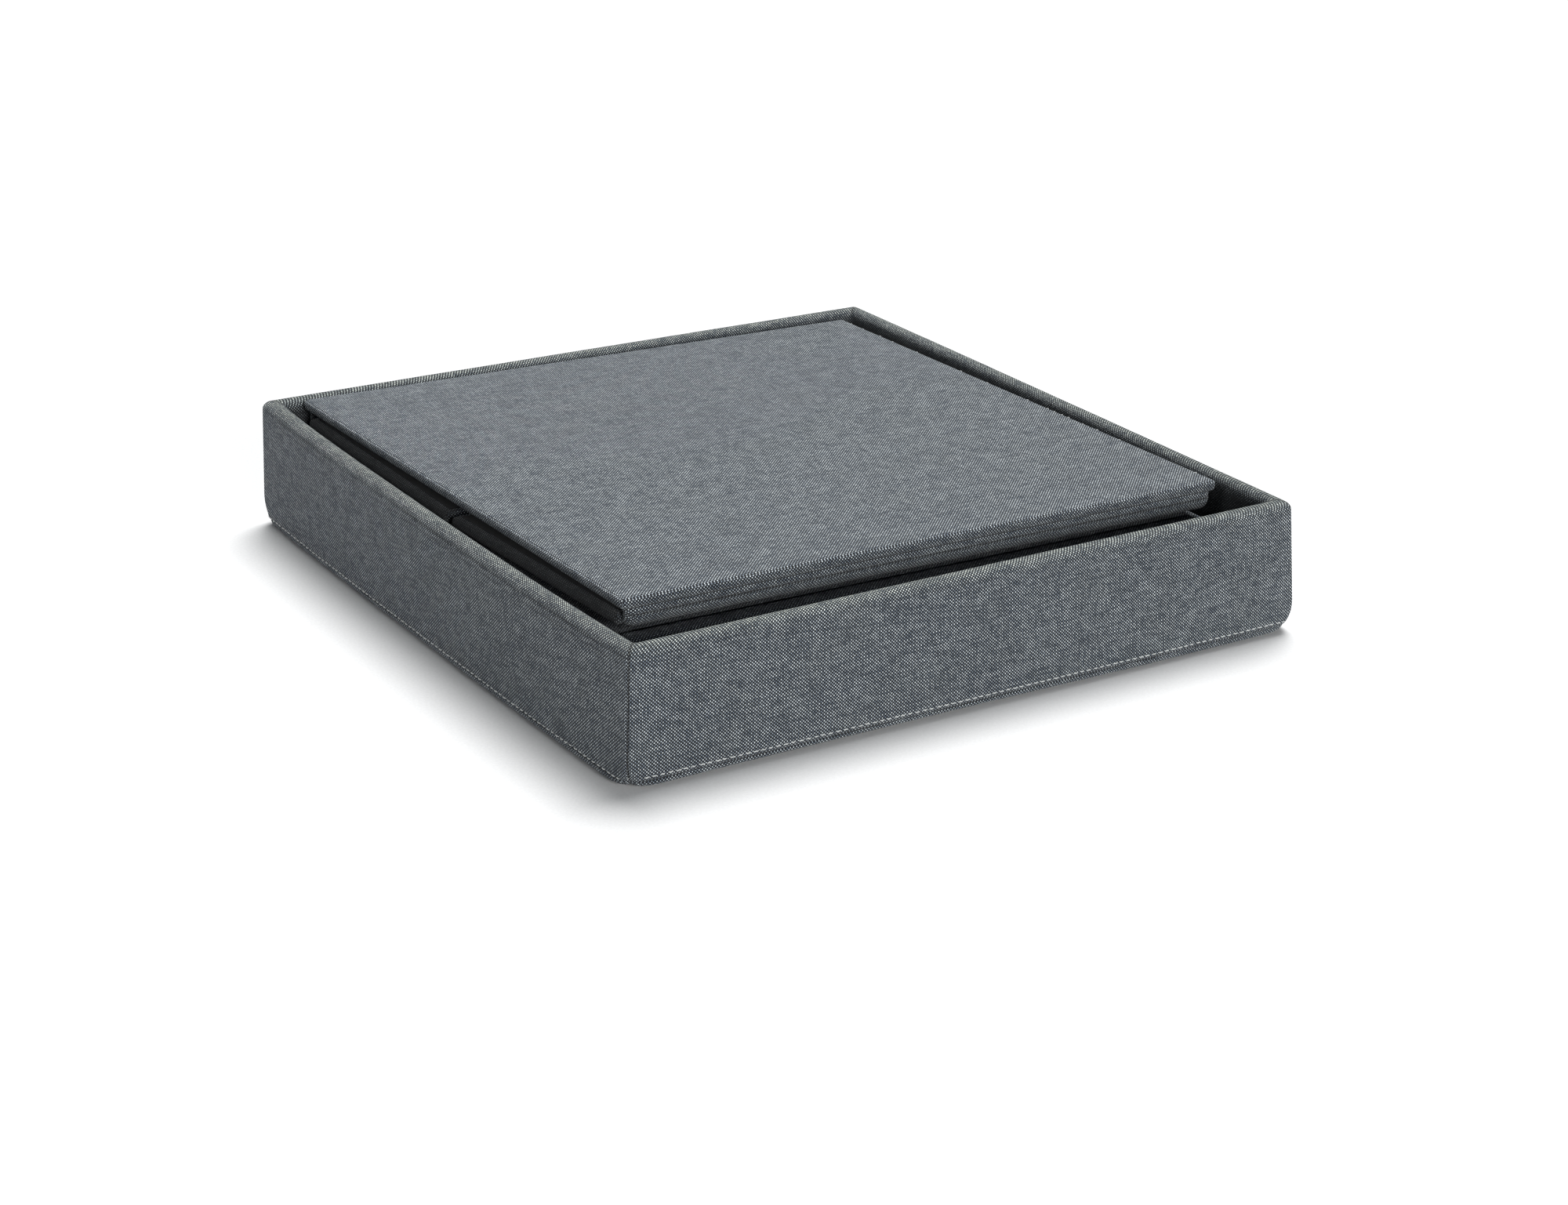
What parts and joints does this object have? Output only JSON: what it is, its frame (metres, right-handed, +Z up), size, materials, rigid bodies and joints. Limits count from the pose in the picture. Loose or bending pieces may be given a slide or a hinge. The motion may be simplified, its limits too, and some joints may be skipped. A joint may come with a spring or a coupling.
{
  "type": "ottoman with storage",
  "caption": "Folding storage ottoman packed flat: an upturned padded lid used as a tray, with the folded cloth-covered storage box and its loose base panel inside.",
  "frame": {"origin": "middle of the seat face that the upturned lid rests on", "axes": "+Z up, +X along the folded box's height towards its mouth, +Y across its front panel towards the far side of the lid"},
  "size_m": [0.38, 0.38, 0.0749],
  "materials": {
    "upholstery_cloth": "plain-woven blue-grey melange with a linen look",
    "lining_cloth": "black non-woven",
    "fibreboard": "raw fibreboard",
    "foam": "open-cell foam, cream"
  },
  "bodies": {
    "lid": {"seat_cover": "upholstery_cloth", "foam_pad": "foam", "deck_board": "fibreboard", "lid_lining": "lining_cloth", "skirt_board_front": "fibreboard", "skirt_board_back": "fibreboard", "skirt_board_left": "fibreboard", "skirt_board_right": "fibreboard", "skirt_cover_front": "upholstery_cloth", "skirt_cover_right": "upholstery_cloth", "skirt_cover_back": "upholstery_cloth", "skirt_cover_left": "upholstery_cloth"},
    "base": {"base_cover": "lining_cloth", "base_board": "fibreboard", "base_lining": "lining_cloth"},
    "back": {"back_panel_cover": "upholstery_cloth", "back_panel_board": "fibreboard", "back_panel_lining": "lining_cloth", "near_lower_web": "upholstery_cloth", "far_lower_web": "upholstery_cloth"},
    "near_lower": {"near_lower_side_cover": "upholstery_cloth", "near_lower_side_board": "fibreboard", "near_lower_side_lining": "lining_cloth", "near_crease_web": "lining_cloth"},
    "near_upper": {"near_upper_side_cover": "upholstery_cloth", "near_upper_side_board": "fibreboard", "near_upper_side_lining": "lining_cloth"},
    "front": {"front_panel_cover": "upholstery_cloth", "front_panel_board": "fibreboard", "front_panel_lining": "lining_cloth", "near_upper_web": "upholstery_cloth", "far_upper_web": "upholstery_cloth"},
    "far_upper": {"far_upper_side_cover": "upholstery_cloth", "far_upper_side_board": "fibreboard", "far_upper_side_lining": "lining_cloth"},
    "far_lower": {"far_lower_side_cover": "upholstery_cloth", "far_lower_side_board": "fibreboard", "far_lower_side_lining": "lining_cloth", "far_crease_web": "lining_cloth"}
  },
  "joints": [
    {"name": "base_lift", "type": "slide", "parent": "lid", "child": "base", "axis": [0, 0, 1], "range_m": [0, 0.08]},
    {"name": "box_lift", "type": "slide", "parent": "base", "child": "back", "axis": [0, 0, 1], "range_m": [0, 0.12]},
    {"name": "near_lower_fold", "type": "hinge", "parent": "back", "child": "near_lower", "pos_m": [0.00059, -0.14625, 0.04428], "axis": [0.9999, -0.0002, -0.0117], "range_deg": [0, 88.75], "deforming": ["near_lower_web"]},
    {"name": "near_upper_fold", "type": "hinge", "parent": "near_lower", "child": "near_upper", "pos_m": [0.00071, 0.01091, 0.05221], "axis": [0.9999, -0.0002, -0.0117], "range_deg": [-177.5, 0], "deforming": ["near_crease_web"]},
    {"name": "front_fold", "type": "hinge", "parent": "near_upper", "child": "front", "pos_m": [0.00083, -0.1459, 0.06543], "axis": [0.9999, -0.0002, -0.0117], "range_deg": [0, 88.75], "deforming": ["near_upper_web"]},
    {"name": "far_upper_fold", "type": "hinge", "parent": "front", "child": "far_upper", "pos_m": [0.00083, 0.17206, 0.06007], "axis": [0.9999, -0.0002, -0.0117], "range_deg": [0, 88.75], "deforming": ["far_upper_web"]},
    {"name": "far_lower_fold", "type": "hinge", "parent": "back", "child": "far_lower", "pos_m": [0.00059, 0.1717, 0.03892], "axis": [0.9999, -0.0002, -0.0117], "range_deg": [-88.75, 0], "deforming": ["far_lower_web", "far_crease_web"]}
  ],
  "couplings": [
    {"joint": "near_upper_fold", "follows": "near_lower_fold", "ratio": -2},
    {"joint": "front_fold", "follows": "near_lower_fold", "ratio": 1},
    {"joint": "far_upper_fold", "follows": "near_lower_fold", "ratio": 1},
    {"joint": "far_lower_fold", "follows": "near_lower_fold", "ratio": -1}
  ]
}
